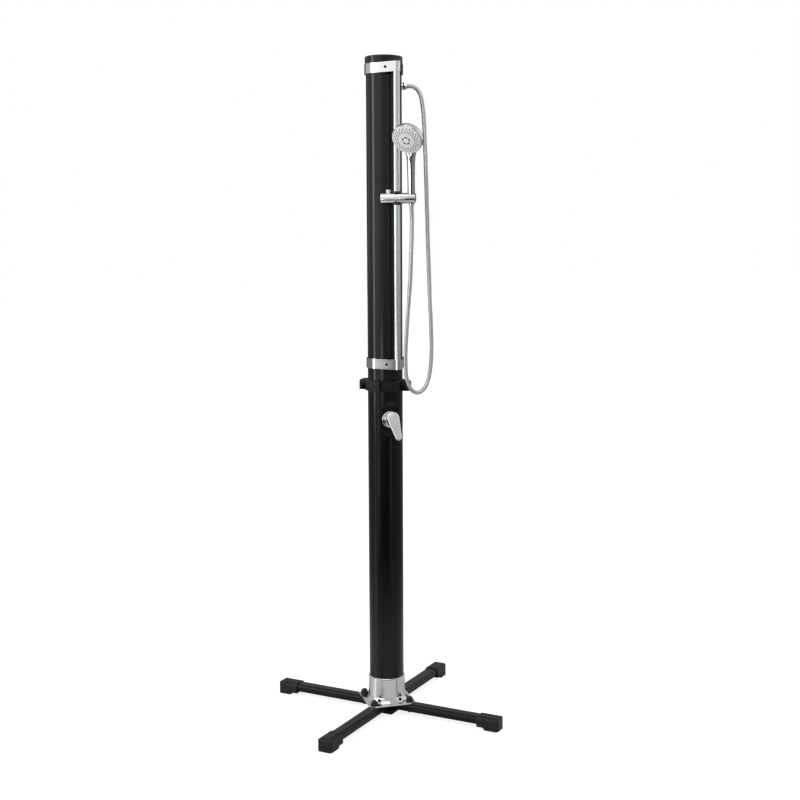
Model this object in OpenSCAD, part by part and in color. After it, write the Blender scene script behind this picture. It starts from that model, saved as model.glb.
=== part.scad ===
// Free-standing solar outdoor shower.
// The front of the stand faces -Y and Z is up. The origin is on the ground under the column's axis.

/* [Base] */
// Distance from the column's axis to the end of each foot
leg_reach = 420; // [330:1:520]
// Width of a leg tube
leg_w = 45; // [36:1:52]
// Height of a leg tube
leg_h = 28; // [22:1:36]
// Wall of a leg tube
leg_wall = 2; // [1.2:0.1:3]
// Height of a leg's underside above the ground
leg_lift = 12; // [9:0.5:18]
// Length of the cap on a leg's end
end_cap_len = 76; // [60:1:95]
// Wall of the cap on a leg's end
end_cap_wall = 3.5; // [2.5:0.1:4.5]
// Length of the foot under that cap
foot_len = 48; // [35:1:55]
// Side of the rubber pad under the crossing
pad_side = 75; // [50:1:90]
// Side of the flange plate
plate_side = 160; // [150:1:190]
// Thickness of the flange plate
plate_t = 5; // [4:0.5:8]
// Height of the socket above the plate
socket_h = 82; // [70:1:110]
// Wall of the socket at its rim
socket_wall = 2.4; // [2:0.1:3.5]
// Number of grooves round the socket
groove_count = 7; // [4:1:10]
// Distance from the axis to each flange bolt
bolt_ring_r = 87; // [86:0.5:94]
// Diameter of a flange bolt
bolt_d = 8; // [6:0.5:10]
// Diameter of a domed nut
knob_d = 26; // [20:0.5:27]
// Height of a domed nut
knob_h = 15.5; // [14:0.5:20]

/* [Column] */
// Outer diameter of both columns
column_d = 115; // [110:0.5:118]
// Wall of both columns
column_wall = 5; // [3.5:0.1:7]
// Height at which the two columns meet
joint_z = 1122; // [1090:1:1128]
// Height of the top of the cap
total_h = 2173; // [2165:1:2300]
// Depth of the crown of the top cap above its skirt
crown_h = 9; // [6:0.5:12]
// Thickness of the cap's skirt and of the liner under the lower band
skirt_t = 2.8; // [2:0.1:3.5]
// Height of the water inlet
inlet_z = 215; // [190:1:400]
// Height of the drain plug
drain_z = 160; // [150:1:165]

/* [Union nut] */
// Height of the nut
nut_h = 36; // [28:1:40]
// Wall of the nut outside its thread
nut_wall = 4.7; // [3.5:0.1:6]
// Reach of a lug from the axis
lug_reach = 87; // [78:0.5:95]
// Width of a lug
lug_w = 27; // [18:0.5:34]
// Rounding of a lug's upper corner
lug_round = 11; // [6:0.5:14]
// Rise of the nut in one turn
nut_pitch = 6; // [4:0.5:8]

/* [Mixer] */
// Height of the mixer's axis
mixer_z = 1004; // [900:1:1010]
// Diameter of the flat in the recess
recess_d = 88; // [80:1:96]
// Depth of the recess
recess_depth = 7.5; // [6:0.25:9]
// Diameter of the escutcheon
escutcheon_d = 54; // [50:0.5:56]
// Length of the lever between the centres of its head and its tip
lever_len = 66; // [50:1:85]
// Diameter of the lever's head
lever_head_d = 41; // [34:0.5:46]
// Diameter of the lever's tip
lever_tip_d = 22; // [14:0.5:28]
// Thickness of the lever
lever_t = 9; // [6:0.25:11]
// Lean of the lever away from the column
lever_lean = 22; // [15:1:26]
// Turn of the lever to the right at rest
lever_rest = 10; // [-20:1:20]

/* [Rail and bands] */
// Turn of the upper column in the union
upper_turn = 8; // [-10:1:20]
// Outer diameter of the rail
rail_d = 22; // [20:0.5:23]
// Wall of the rail
rail_wall = 1.5; // [1:0.1:2]
// Distance from the column's axis to the rail's axis
rail_offset = 95; // [94:0.5:105]
// Height of a band
band_h = 32; // [26:1:38]
// Thickness of a band
band_t = 1.5; // [1:0.1:2]
// Height of the lower edge of the lower band
lower_band_z = 1171; // [1165:1:1200]
// Distance from the upper edge of the upper band to the top of the cap
upper_band_drop = 30; // [27:1:40]
// Place of a band's screw, as a share of the flat from the column to the rail
band_screw_share = 0.58; // [0.45:0.01:0.62]

/* [Slider] */
// Height of the slider's barrel
slider_z = 1718; // [1700:1:1740]
// Diameter of the barrel
barrel_d = 34; // [32:0.5:36]
// Reach of the barrel to the left of the rail
barrel_left = 51; // [46:0.5:52]
// Reach of the barrel to the right of the rail
barrel_right = 18; // [17.5:0.25:20]
// Length of the holder
holder_len = 42.3; // [40:0.1:48]
// Distance from the rail to the handset's axis
holder_offset = 46.5; // [45.5:0.25:48]
// Turn of the barrel round the rail
barrel_turn = -34; // [-36:1:-20]
// Distance from the rail to the button
button_offset = 27; // [26:0.5:32]
// Diameter of the button
button_d = 15.5; // [12:0.5:16]
// Height of the button above the barrel
button_h = 9.6; // [6:0.2:11]
// Travel of the button
button_travel = 3; // [2:0.25:4]

/* [Handset] */
// Lean of the handset towards the user
handset_lean = 15; // [5:1:20]
// Lean of the handset to its left
handset_side_lean = -1.5; // [-2:0.1:2]
// Turn of the handset about its handle, where minus is to the left
handset_turn = -14; // [-20:0.1:10]
// Diameter of the handle
handle_d = 26; // [24:0.5:28]
// Diameter of the spray face
face_d = 93; // [85:0.5:96]
// Diameter of the head's rim
head_d = 99; // [98:0.5:108]
// Depth of the head behind the face
head_depth = 25; // [22:0.5:32]
// Height of the middle of the face along the handle's axis
face_rise = 190.5; // [185:0.5:205]
// Distance of the middle of the face in front of the handle's axis
face_forward = 34; // [28:0.5:36]
// Tilt of the face to the handle
face_tilt = 20.8; // [8:0.2:22]
// Rise of the middle of the face above its edge
face_dome = 5; // [2:0.5:6]
// Number of nozzles in each ring
nozzles_per_ring = 22; // [16:1:24]
// Length of the cone nut on the hose
cone_nut_len = 38; // [36:0.5:42]

/* [Hose] */
// Diameter of the hose
hose_d = 13.5; // [12:0.25:14]
// Turn of the outlet from the rail
outlet_turn = 72; // [60:1:90]
// Distance of the outlet below the top of the cap
outlet_drop = 97; // [93:1:110]

/* [Hidden] */

$fn = 96;
eps = 0.01;
// Gap between a piece and the one it sits in, on one body
seat_gap = 0.15;
// Gap between pieces that move past each other
move_gap = 0.4;
// Radial gap of a bearing
run_gap = 0.06;

// Heights of the base
leg_top = leg_lift + leg_h;
plate_top = leg_top + plate_t;
socket_top = plate_top + socket_h;
column_r = column_d / 2;
column_in_r = column_r - column_wall;
leg_corner = 11;
cap_end_wall = 5;
plate_corner = 18;
bolt_head_h = 5;
bolt_head_d = 13;
groove_r = 2;
groove_turn = -7;
flare_reach = 12;
flare_h = 20;
screw_seat = 7.2;
foot_angles = [-45, -135, 135, 45];

// The joint of the columns
thread_r = column_r + 2.5;
thread_h = 20;
seal_t = 2;
flange_h = 4;
slip_ring_t = 1.2;
nut_top = joint_z + seal_t / 2 + flange_h + slip_ring_t + 2 * seat_gap + 3.5;
nut_bottom = nut_top - nut_h;
nut_turn = 6;
lug_count = 4;
transfer_r = 34;
crown_sag = crown_h - 2.8;
crown_r = (pow(column_r, 2) + pow(crown_sag, 2)) / (2 * crown_sag);
// Pipes in the tank: distance of the mixed water in front of the axis, of the pick-up behind it,
// and of the pick-up's mouth below the top of the cap
mixed_y = 26;
pickup_y = 14;
pickup_drop = 43;
riser_elbow_r = 24;
// Distance of the mixer's two pipe sockets above and below its axis
feed_reach = 40;

// The mixer, on an axis that points to the front
recess_floor = column_r - recess_depth;
recess_flare = 14;
neck_r = 18;
escutcheon_t = 6;
dome_r = 19.5;
dome_len = 14.5;
dome_base = recess_floor + escutcheon_t + move_gap;
ball_r = 15.5;
ball_y = dome_base + dome_len - 4.5;
hub_reach = 26;
pivot_r = 2;
pivot_boss_r = 4.8;
hub_neck_r = 7;

// Bands and rail
skirt_r = column_r + seat_gap + skirt_t;
band_in_r = skirt_r + seat_gap;
loop_in_r = rail_d / 2 + seat_gap;
upper_band_z = total_h - upper_band_drop - band_h;
spacer_h = band_h - 8;
band_screw_d = 5;
band_screw_head_d = 8.5;
plug_t = 2;

// Slider
bush_wall = 2.7;
bush_r = rail_d / 2 + run_gap + bush_wall;
bush_half = barrel_d / 2 + 4.5;
collar_r = bush_r + 1.6;
collar_t = 3;
spigot_r = 8;
spigot_len = 13;
button_bore_floor = -8.5;
button_skirt = 11;
spring_r = 5;
spring_wire = 1.2;
spring_turns = 5;
cone_top_r = 11.9;
cone_bottom_r = 9.2;
cone_top_z = barrel_d / 2 + 0.2;
slot_w = hose_d + 1.5;

// Handset
handle_bottom = cone_top_z + 0.3;
handle_top = face_rise - head_d / 2 - 10;
rim_t = 9;
face_t = 5;
face_inset = 1;
mat_in_r = 25;
mat_out_r = 43;
mat_t = 1.6;
ring_radii = [28, 34, 40];
jet_ring_r = 11;
jet_w = 3.2;
jet_len = 9;
dome_curve_r = (pow(face_d / 2, 2) + pow(face_dome, 2)) / (2 * face_dome);

// Outlet
outlet_z = total_h - outlet_drop;
thread_half_r = 10.48;
washer_at = column_r + 4;
washer_t = 4.5;
hose_nut_len = 10.5;

// The hose's route, from the outlet down, round the low loop and up to the handset
hose_route = [
    [76, -13.4, 2076], [92, -16, 2075], [105, -20, 2067], [113, -24, 2054], [118, -28, 2036],
    [121, -31, 2010], [123, -35, 1980], [124, -39, 1940], [124, -43, 1895], [125, -47, 1850],
    [125, -51, 1800], [126, -54, 1750], [126, -57, 1700], [127, -60, 1650], [127, -62, 1600],
    [128, -65, 1550], [129, -67, 1500], [130, -70, 1445], [131, -72, 1390], [133, -75, 1335],
    [134, -78, 1280], [134, -80, 1235], [131, -83, 1190], [124, -86, 1148], [112, -90, 1116],
    [96, -94, 1099], [79, -98, 1094], [62, -101, 1101], [48, -104, 1120], [39, -106, 1150],
    [36, -108, 1190], [36, -109, 1235], [39, -110, 1290], [43, -111, 1350], [48, -111, 1410],
    [52, -111, 1470], [55, -109.5, 1530], [58, -107, 1585], [59.8, -104.4, 1630],
    [60.2, -103.4, 1655], [59.7, -104, 1670], [58.5, -106, 1683.7], [57.14, -109.3, 1697.2]];

// Points on an arc about a centre
function arc(cx, cy, r, from, to, steps) =
    [for (i = [0:steps]) let (a = from + (to - from) * i / steps) [cx + r * cos(a), cy + r * sin(a)]];

function unit(v) = v / norm(v);

// Direction of a route at one of its points
function heading(path, i) =
    unit(path[min(i + 1, len(path) - 1)] - path[max(i - 1, 0)]);

// Ring of points round a route, square to its heading
function tube_ring(path, i, r, sides, ref) =
    let (t = heading(path, i), u = unit(cross(ref, t)), v = cross(t, u))
    [for (k = [0:sides - 1]) path[i] + r * (cos(360 * k / sides) * u + sin(360 * k / sides) * v)];

// Solid between rings that all have the same number of points
module skin(rings) {
    n = len(rings[0]);
    last = (len(rings) - 1) * n;
    sides = [for (j = [0:len(rings) - 2]) for (i = [0:n - 1]) for (half = [0, 1])
        let (a = j * n + i, b = j * n + (i + 1) % n)
        half == 0 ? [a, a + n, b + n] : [a, b + n, b]];
    polyhedron(
        points = [for (r = rings) each r],
        faces = concat(
            [[for (i = [0:n - 1]) i]],
            sides,
            [[for (i = [n - 1:-1:0]) last + i]]));
}

module tube_along(path, r, sides, ref) {
    skin([for (i = [0:len(path) - 1]) tube_ring(path, i, r, sides, ref)]);
}

// Rectangle with round corners, made of true arcs
module round_rect(w, h, r) {
    square([w - 2 * r, h], center = true);
    square([w, h - 2 * r], center = true);
    for (x = [-1, 1])
        for (y = [-1, 1])
            translate([x * (w / 2 - r), y * (h / 2 - r)])
                circle(r);
}

// Solid of revolution whose axis points to the front from the column's axis
module facing_front(z) {
    translate([0, 0, z])
        rotate([90, 0, 0])
            children();
}

// Frame of one leg: X runs outwards along it
module on_leg(angle) {
    rotate([0, 0, angle])
        children();
}

module ring(r_out, r_in, h) {
    difference() {
        cylinder(h = h, r = r_out);
        translate([0, 0, -eps])
            cylinder(h = h + 2 * eps, r = r_in);
    }
}

// The base

module leg_bar(angle, notch_from) {
    bar = 2 * (leg_reach - cap_end_wall - seat_gap);
    on_leg(angle)
        difference() {
            translate([-bar / 2, 0, leg_lift + leg_h / 2])
                rotate([90, 0, 90])
                    linear_extrude(bar)
                        difference() {
                            round_rect(leg_w, leg_h, leg_corner);
                            round_rect(leg_w - 2 * leg_wall, leg_h - 2 * leg_wall, leg_corner - leg_wall);
                        }
            translate([-leg_w / 2 - seat_gap, -leg_w, notch_from])
                cube([leg_w + 2 * seat_gap, 2 * leg_w, leg_h / 2 + eps + seat_gap]);
            for (side = [-1, 1])
                translate([side * bolt_ring_r, 0, 0])
                    cylinder(h = plate_top, d = bolt_d + 2 * seat_gap);
        }
}

module leg_bar_lower() {
    color("#1b1b1d")
        leg_bar(-45, leg_lift + leg_h / 2 - seat_gap / 2);
}

module leg_bar_upper() {
    color("#1b1b1d")
        leg_bar(-135, leg_lift - eps - seat_gap / 2);
}

module end_cap(angle) {
    outer_w = leg_w + 2 * (end_cap_wall + seat_gap);
    outer_h = leg_h + 2 * (end_cap_wall + seat_gap);
    top = leg_top + seat_gap + end_cap_wall;
    sleeve_low = leg_lift - seat_gap - end_cap_wall;
    back = leg_reach - end_cap_len;
    nose = 12;
    plan_corner = 13;
    color("#151515")
        on_leg(angle)
            difference() {
                intersection() {
                    // Seen from the side: a sleeve, a foot under its outer part and a round nose
                    rotate([90, 0, 0])
                        linear_extrude(outer_w + 2, center = true)
                            polygon(concat(
                                [[back, sleeve_low], [back, top - 1.5], [back + 1.5, top]],
                                arc(leg_reach - nose, top - nose, nose, 90, 0, 8),
                                arc(leg_reach - 2, 2, 2, 0, -90, 3),
                                [[leg_reach - foot_len, 0],
                                 [leg_reach - foot_len - 5, sleeve_low]]));
                    // Seen from above: the outer corners are round
                    linear_extrude(top + 1)
                        union() {
                            translate([back - 1, -outer_w / 2])
                                square([end_cap_len - plan_corner + 1, outer_w]);
                            translate([leg_reach - plan_corner - 1, plan_corner - outer_w / 2])
                                square([plan_corner + 1, outer_w - 2 * plan_corner]);
                            for (side = [-1, 1])
                                translate([leg_reach - plan_corner, side * (outer_w / 2 - plan_corner)])
                                    circle(plan_corner);
                        }
                    // Seen from the end: a round-topped section
                    translate([back - 1, 0, 0])
                        rotate([90, 0, 90])
                            linear_extrude(end_cap_len + 2)
                                union() {
                                    translate([0, top - outer_h / 2])
                                        round_rect(outer_w, outer_h, leg_corner + end_cap_wall);
                                    translate([-outer_w / 2, 0])
                                        square([outer_w, leg_top - leg_h / 2]);
                                }
                }
                translate([back - 1, 0, leg_lift + leg_h / 2])
                    rotate([90, 0, 90])
                        linear_extrude(end_cap_len - cap_end_wall + 1)
                            round_rect(leg_w + 2 * seat_gap, leg_h + 2 * seat_gap, leg_corner);
            }
}

module end_cap_front_right() { end_cap(foot_angles[0]); }
module end_cap_front_left() { end_cap(foot_angles[1]); }
module end_cap_rear_left() { end_cap(foot_angles[2]); }
module end_cap_rear_right() { end_cap(foot_angles[3]); }

module centre_pad() {
    color("#101010")
        on_leg(45)
            linear_extrude(leg_lift - seat_gap)
                round_rect(pad_side, pad_side, 3);
}

module at_bolts() {
    for (angle = foot_angles)
        on_leg(angle)
            translate([bolt_ring_r, 0, 0])
                children();
}

module base_socket() {
    rim_r = column_r + seat_gap + socket_wall;
    flare_z = plate_top + flare_h;
    color("#d8dadd")
        difference() {
            union() {
                translate([0, 0, leg_top + seat_gap])
                    linear_extrude(plate_t - seat_gap)
                        round_rect(plate_side, plate_side, plate_corner);
                rotate_extrude()
                    polygon(concat(
                        [[column_r - 8, leg_top + 1],
                         [rim_r + flare_reach, leg_top + 1],
                         [rim_r + flare_reach, plate_top + 1],
                         [rim_r + flare_reach - 2, plate_top + 3]],
                        arc(rim_r + flare_h, flare_z, flare_h - 1.5, 222, 180, 6),
                        [[rim_r + 0.6, socket_top - 4],
                         [rim_r, socket_top - 1],
                         [rim_r - 1, socket_top],
                         [column_r - 8, socket_top]]));
            }
            translate([0, 0, plate_top])
                cylinder(h = socket_h + 1, r = column_r + seat_gap);
            cylinder(h = plate_top + 1, r = column_r - 25);
            at_bolts()
                union() {
                    cylinder(h = plate_top + 1, d = bolt_d + 2 * seat_gap);
                    translate([0, 0, plate_top])
                        cylinder(h = flare_h + 10, d = knob_d + 1);
                }
            for (i = [0:groove_count - 1])
                rotate([0, 0, groove_turn + (i + 0.5) * 360 / groove_count])
                    translate([0, -rim_r - groove_r, flare_z + 2.3])
                        cylinder(h = socket_h - flare_h - 8.3, r = groove_r + 1, $fn = 24);
            at_socket_screws()
                union() {
                    cylinder(h = 20, d = 6 + 2 * seat_gap);
                    translate([0, 0, screw_seat - seat_gap])
                        cylinder(h = 20, d = 9.5 + 4 * seat_gap);
                }
        }
}

// Axis of each set screw, pointing outwards through the socket's wall
module at_socket_screws() {
    for (angle = [-33, 33, 147, 213])
        rotate([0, 0, groove_turn + angle])
            translate([0, -column_r, plate_top + 9])
                rotate([90, 0, 0])
                    children();
}

module socket_screws() {
    color("#161616")
        at_socket_screws()
            translate([0, 0, 0.4])
                union() {
                    cylinder(h = screw_seat - 0.3, d = 6);
                    translate([0, 0, screw_seat - 0.4])
                        cylinder(h = 4, d = 9.5, $fn = 48);
                }
}

module flange_bolts() {
    color("#8b8d90")
        at_bolts()
            union() {
                translate([0, 0, leg_lift - bolt_head_h - seat_gap])
                    cylinder(h = bolt_head_h, d = bolt_head_d / cos(30), $fn = 6);
                translate([0, 0, leg_lift - seat_gap - eps])
                    cylinder(h = plate_top + knob_h - 8 - leg_lift, d = bolt_d);
            }
}

module knob_nuts() {
    r = knob_d / 2;
    color("#141414")
        at_bolts()
            translate([0, 0, plate_top + seat_gap])
                difference() {
                    rotate_extrude()
                        polygon(concat(
                            [[0, 0], [r, 0], [r, 3], [r - 1.2, 4.5]],
                            arc(r - 10.5, knob_h - 8, 8, 12, 90, 8),
                            [[0, knob_h]]));
                    translate([0, 0, -1])
                        cylinder(h = knob_h - 6, d = bolt_d + 2 * seat_gap);
                    for (i = [0:5])
                        rotate([0, 0, 60 * i])
                            translate([r + 1.2, 0, 4])
                                cylinder(h = knob_h, r = 3.2, $fn = 24);
                }
}

// The columns

module recess_cone(grow) {
    facing_front(mixer_z)
        translate([0, 0, recess_floor - grow])
            cylinder(h = recess_depth + 2 * grow + 6,
                     r1 = recess_d / 2 + grow,
                     r2 = recess_d / 2 + grow + recess_flare * (recess_depth + 6) / recess_depth);
}

module rear_port(z, r) {
    translate([0, column_in_r - 8, z])
        rotate([-90, 0, 0])
            cylinder(h = column_wall + 16, r = r);
}

module lower_column() {
    top = joint_z - seal_t / 2;
    bottom = plate_top + seat_gap;
    color("#1c1c1d")
        difference() {
            union() {
                translate([0, 0, bottom])
                    cylinder(h = top - bottom, r = column_r);
                translate([0, 0, top - thread_h])
                    cylinder(h = thread_h, r = thread_r);
            }
            recess_cone(0);
            difference() {
                translate([0, 0, bottom + column_wall])
                    cylinder(h = top - bottom - 2 * column_wall, r = column_in_r);
                recess_cone(column_wall);
            }
            translate([0, 0, top - 2 * column_wall])
                cylinder(h = 3 * column_wall, r = transfer_r);
            facing_front(mixer_z)
                cylinder(h = column_r, r = neck_r + seat_gap);
            rear_port(inlet_z, thread_half_r + seat_gap);
            rear_port(drain_z, 8 + seat_gap);
        }
}

module upper_column() {
    bottom = joint_z + seal_t / 2;
    top = total_h - crown_h - skirt_t - seal_t - seat_gap;
    color("#262627")
        rotate([0, 0, upper_turn])
            difference() {
                union() {
                    translate([0, 0, bottom])
                        cylinder(h = top - bottom, r = column_r);
                    translate([0, 0, bottom])
                        cylinder(h = flange_h, r = thread_r);
                }
                translate([0, 0, bottom + column_wall])
                    cylinder(h = top - bottom, r = column_in_r);
                translate([0, 0, bottom - 1])
                    cylinder(h = 3 * column_wall, r = transfer_r);
                at_outlet()
                    cylinder(h = column_r + 5, r = thread_half_r + seat_gap);
            }
}

module drain_plug() {
    color("#202020")
        translate([0, column_r - 8, drain_z])
            rotate([-90, 0, 0])
                union() {
                    cylinder(h = 8 + seat_gap + eps, r = 8);
                    translate([0, 0, 8 + seat_gap])
                        cylinder(h = 3, r = 12);
                    translate([0, 0, 11 + seat_gap - eps])
                        cylinder(h = 5, d = 17 / cos(30), $fn = 6);
                }
}

module inlet_fitting() {
    color("#c9a24c")
        translate([0, column_in_r - 6, inlet_z])
            rotate([-90, 0, 0])
                difference() {
                    union() {
                        cylinder(h = column_wall + 6 + seat_gap + eps, r = thread_half_r);
                        translate([0, 0, column_wall + 6 + seat_gap])
                            cylinder(h = 4, d = 27 / cos(30), $fn = 6);
                        translate([0, 0, column_wall + 10 + seat_gap - eps])
                            cylinder(h = 14, r = thread_half_r);
                    }
                    translate([0, 0, -1])
                        cylinder(h = 60, r = 6 + seat_gap);
                }
}

// The mixer

module mixer_body() {
    color("#c7a75a")
        difference() {
            union() {
                facing_front(mixer_z)
                    translate([0, 0, 6])
                        cylinder(h = recess_floor - column_wall - 6 - seat_gap, r = neck_r + 4);
                facing_front(mixer_z)
                    translate([0, 0, 20])
                        cylinder(h = dome_base - move_gap - 20, r = neck_r);
                translate([0, -mixed_y, mixer_z - neck_r - 20])
                    cylinder(h = 2 * neck_r + 40, r = 9);
            }
            facing_front(mixer_z)
                translate([0, 0, 14])
                    cylinder(h = 60, r = 15 + seat_gap);
            for (end = [-1, 1])
                translate([0, -mixed_y, mixer_z + end * feed_reach - 12.5])
                    cylinder(h = 25, r = 6 + seat_gap);
        }
}

module mixer_cartridge() {
    color("#e6e2d8")
        facing_front(mixer_z)
            translate([0, 0, 14 + seat_gap])
                cylinder(h = dome_base - move_gap - 14.5, r = 15);
}

module mixer_escutcheon() {
    r = escutcheon_d / 2;
    color("#dfe1e4")
        facing_front(mixer_z)
            translate([0, 0, recess_floor + seat_gap])
                rotate_extrude()
                    polygon(concat(
                        [[neck_r + seat_gap, 0], [r, 0]],
                        arc(r - 2, 2, 2, 0, 80, 5),
                        [[neck_r + 3.2, escutcheon_t - seat_gap - 0.6],
                         [neck_r + 2.4, escutcheon_t - seat_gap],
                         [neck_r + seat_gap, escutcheon_t - seat_gap]]));
}

// Turns a piece round the mixer's axis to the lever's rest position
module at_lever_rest() {
    translate([0, 0, mixer_z])
        rotate([0, -lever_rest, 0])
            translate([0, 0, -mixer_z])
                children();
}

// Round bar along X through the lever's pivot
module across(length, r) {
    rotate([0, 90, 0])
        cylinder(h = length, r = r, center = true);
}

module mixer_dome() {
    in_r = ball_r + 0.35;
    color("#dfe1e4")
        at_lever_rest()
            facing_front(mixer_z)
                union() {
                    translate([0, 0, dome_base])
                        rotate_extrude()
                            polygon([
                                [0, 0], [dome_r, 0], [dome_r, 4], [dome_r - 0.8, 4.6],
                                [dome_r - 0.8, 5.6], [dome_r - 0.2, 6.2],
                                [dome_r - 0.9, dome_len - 2], [dome_r - 1.9, dome_len],
                                [in_r, dome_len], [in_r, 2], [0, 2]]);
                    translate([0, 0, ball_y])
                        across(2 * in_r + 2, pivot_r);
                }
}

// Outline of the lever, drawn in by an inset, at a height above its underside
function lever_outline(inset, z, steps) =
    [for (i = [0:steps - 1])
        let (a = 360 * i / steps, head = lever_head_d / 2 - inset, tip = lever_tip_d / 2 - inset,
             on_head = head >= tip - lever_len * sin(a))
        on_head ? [head * cos(a), head * sin(a), z] : [tip * cos(a), tip * sin(a) - lever_len, z]];

module mixer_lever() {
    layers = [[3, 0], [1.2, 0.6], [0.3, 1.8], [0, 3.2], [0, lever_t - 3.4], [0.5, lever_t - 1.6],
              [1.7, lever_t - 0.5], [3.5, lever_t]];
    color("#c8cacd")
        at_lever_rest()
            translate([0, -ball_y, mixer_z])
                rotate([90 - lever_lean, 0, 0])
                    difference() {
                        union() {
                            intersection() {
                                sphere(ball_r);
                                rotate([lever_lean, 0, 0])
                                    translate([-ball_r, -ball_r, 0])
                                        cube(2 * ball_r);
                            }
                            across(2 * hub_neck_r + 4, pivot_boss_r);
                            cylinder(h = hub_reach, r = hub_neck_r);
                            translate([0, 0, hub_reach - lever_t / 2])
                                skin([for (l = layers) lever_outline(l[0], l[1], 60)]);
                        }
                        across(2 * ball_r + 2, pivot_r + run_gap);
                    }
}

// Pipes inside the tank

module elbow_pipe(points, r) {
    for (i = [0:len(points) - 2])
        translate(points[i])
            orient(points[i + 1] - points[i])
                cylinder(h = norm(points[i + 1] - points[i]), r = r);
    for (i = [1:len(points) - 2])
        translate(points[i])
            sphere(r + 0.3);
}

// Turns Z to a direction
module orient(v) {
    rotate([0, acos(v[2] / norm(v)), atan2(v[1], v[0])])
        children();
}

module cold_pipe() {
    color("#b9c4cf")
        elbow_pipe([[0, column_in_r + 2, inlet_z], [0, -mixed_y, inlet_z],
                    [0, -mixed_y, mixer_z - feed_reach]], 6);
}

module riser_pipe() {
    color("#b9c4cf")
        elbow_pipe([[0, -mixed_y, mixer_z + feed_reach], [0, -mixed_y, outlet_z],
                    outlet_point(riser_elbow_r), outlet_point(column_in_r + 2)], 6);
}

module hot_pipe() {
    color("#c98d77")
        elbow_pipe([[0, seat_gap - 6, mixer_z], [0, pickup_y, mixer_z],
                    [0, pickup_y, total_h - pickup_drop]], 6);
}

// The joint of the columns

module union_nut() {
    bore_r = thread_r + 0.35;
    out_r = bore_r + nut_wall;
    lip_z = nut_top - 3.5;
    color("#171717")
        difference() {
            union() {
                translate([0, 0, nut_bottom])
                    rotate_extrude()
                        polygon(concat(
                            [[column_r + move_gap, 0], [out_r, 0]],
                            arc(out_r - 2, nut_h - 4, 2, 0, 90, 4),
                            [[column_r + move_gap, nut_h]]));
                for (i = [0:lug_count - 1])
                    rotate([0, 0, nut_turn + 45 + 360 / lug_count * i])
                        translate([0, 0, nut_bottom])
                            rotate([90, 0, 0])
                                linear_extrude(lug_w, center = true)
                                    union() {
                                        translate([thread_r + 2, 0])
                                            square([lug_reach - thread_r - 2, nut_h - lug_round]);
                                        translate([thread_r + 2, 0])
                                            square([lug_reach - thread_r - 2 - lug_round, nut_h]);
                                        translate([lug_reach - lug_round, nut_h - lug_round])
                                            circle(lug_round);
                                    }
            }
            translate([0, 0, nut_bottom - 1])
                cylinder(h = lip_z - nut_bottom + 1, r = bore_r);
            translate([0, 0, nut_bottom - 1])
                cylinder(h = nut_h + 2, r = column_r + move_gap);
        }
}

module union_slip_ring() {
    color("#d9d9d9")
        translate([0, 0, joint_z + seal_t / 2 + flange_h + seat_gap])
            ring(thread_r, column_r + move_gap, slip_ring_t);
}

module union_seal() {
    color("#3a3a3a")
        translate([0, 0, joint_z - seal_t / 2])
            ring(thread_r - 1, transfer_r + 4, seal_t);
}

module top_cap() {
    skirt_bottom = upper_band_z + 1;
    shoulder = total_h - crown_h;
    color("#1a1a1b")
        rotate_extrude()
            polygon(concat(
                [[column_r + seat_gap, skirt_bottom], [skirt_r, skirt_bottom]],
                arc(skirt_r - 3, shoulder, 3, 0, 70, 6),
                arc(0, total_h - crown_r, crown_r, 90 - asin(0.92 * column_r / crown_r), 90, 8),
                [[0, shoulder - skirt_t], [column_r + seat_gap, shoulder - skirt_t]]));
}

module cap_seal() {
    color("#3a3a3a")
        translate([0, 0, total_h - crown_h - skirt_t - seal_t - seat_gap / 2])
            ring(column_r - 0.5, column_in_r, seal_t);
}

// Bands, rail and outlet, all in the frame of the upper column

// Outline that wraps a circle on the axis and a circle on the rail
module wrap(ra, rb) {
    lean = acos((ra - rb) / rail_offset);
    circle(ra);
    translate([0, -rail_offset])
        circle(rb);
    polygon([
        ra * [-sin(lean), -cos(lean)],
        [0, -rail_offset] + rb * [-sin(lean), -cos(lean)],
        [0, -rail_offset] + rb * [sin(lean), -cos(lean)],
        ra * [sin(lean), -cos(lean)]]);
}

// Frame at a band's screw: Z points out of the left flat, square to it
module at_band_screw(z) {
    ra = band_in_r + band_t;
    rb = loop_in_r + band_t;
    lean = acos((ra - rb) / rail_offset);
    out = [-sin(lean), -cos(lean)];
    spot = (1 - band_screw_share) * ra * out + band_screw_share * ([0, -rail_offset] + rb * out);
    translate([spot[0], spot[1], z + band_h / 2])
        orient([out[0], out[1], 0])
            children();
}

module band(z) {
    color("#e2e4e6")
        rotate([0, 0, upper_turn])
            difference() {
                translate([0, 0, z])
                    linear_extrude(band_h)
                        difference() {
                            wrap(band_in_r + band_t, loop_in_r + band_t);
                            wrap(band_in_r, loop_in_r);
                        }
                at_band_screw(z)
                    translate([0, 0, -6])
                        cylinder(h = 12, d = band_screw_d + 0.4);
            }
}

module upper_band() { band(upper_band_z); }
module lower_band() { band(lower_band_z); }

module spacer(z) {
    color("#141414")
        rotate([0, 0, upper_turn])
            difference() {
                translate([0, 0, z + (band_h - spacer_h) / 2])
                    linear_extrude(spacer_h)
                        difference() {
                            intersection() {
                                wrap(band_in_r - seat_gap, loop_in_r - seat_gap);
                                translate([-column_r, -rail_offset - 1])
                                    square([column_d, rail_offset - 41]);
                            }
                            circle(band_in_r);
                            translate([0, -rail_offset])
                                circle(loop_in_r);
                        }
                at_band_screw(z)
                    translate([0, 0, -10])
                        cylinder(h = 20, d = band_screw_d + 2 * seat_gap);
            }
}

module upper_spacer() { spacer(upper_band_z); }
module lower_spacer() { spacer(lower_band_z); }

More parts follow.
